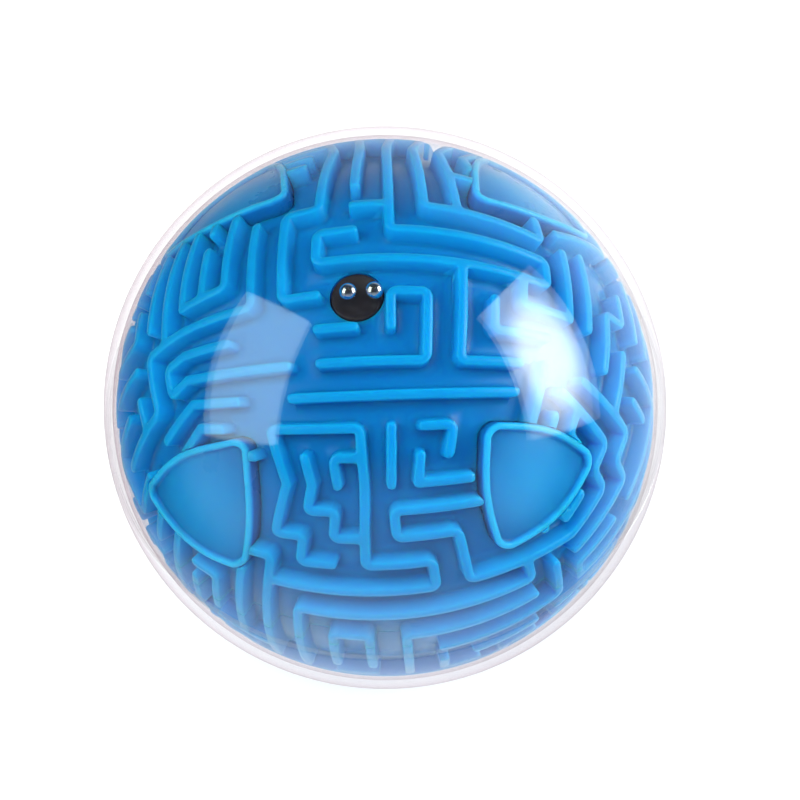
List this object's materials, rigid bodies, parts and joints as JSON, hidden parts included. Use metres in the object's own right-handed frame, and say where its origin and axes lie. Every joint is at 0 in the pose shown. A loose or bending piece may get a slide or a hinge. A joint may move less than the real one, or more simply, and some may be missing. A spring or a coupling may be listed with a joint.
{
  "type": "spherical maze ball game",
  "caption": "Hand-held clear plastic sphere with a raised-wall labyrinth ball inside, steered by tilting so that loose steel balls roll along its corridors.",
  "frame": {"origin": "centre of the sphere, which is also the centre of the bounding box", "axes": "+Z through the middle of the maze's top panel, -Y through the middle of its front panel; the shell and the maze core split on z = 0"},
  "size_m": [0.102, 0.102, 0.102],
  "materials": {
    "clear_shell": "clear, glossy, moulded plastic",
    "maze_blue": "moulded, satin, slightly translucent",
    "cap_blue": "moulded, smooth",
    "cup_black": "matt black",
    "polished_steel": "polished bearing steel",
    "zinc_steel": "zinc plated"
  },
  "bodies": {
    "ball_case": {"shell_upper": "clear_shell", "shell_lower": "clear_shell", "core_upper": "maze_blue", "core_lower": "maze_blue", "corner_cap_1": "cap_blue", "corner_cap_2": "cap_blue", "corner_cap_3": "cap_blue", "corner_cap_4": "cap_blue", "corner_cap_5": "cap_blue", "corner_cap_6": "cap_blue", "corner_cap_7": "cap_blue", "corner_cap_8": "cap_blue", "finish_cup": "cup_black", "core_screw_1": "zinc_steel", "core_screw_2": "zinc_steel", "core_screw_3": "zinc_steel", "core_screw_4": "zinc_steel", "core_dowel_1": "zinc_steel", "core_dowel_2": "zinc_steel"},
    "rolling_ball_left": {"steel_ball_left": "polished_steel"},
    "rolling_ball_right": {"steel_ball_right": "polished_steel"}
  },
  "joints": [
    {"name": "left_ball_roll", "type": "hinge", "parent": "ball_case", "child": "rolling_ball_left", "pos_m": [0, 0, 0], "axis": [0.9962, 0, 0.0872], "range_deg": [-3.8, 4.9]},
    {"name": "right_ball_roll", "type": "hinge", "parent": "ball_case", "child": "rolling_ball_right", "pos_m": [0, 0, 0], "axis": [1, 0, -0.0087], "range_deg": [-3.8, 12.2]}
  ]
}
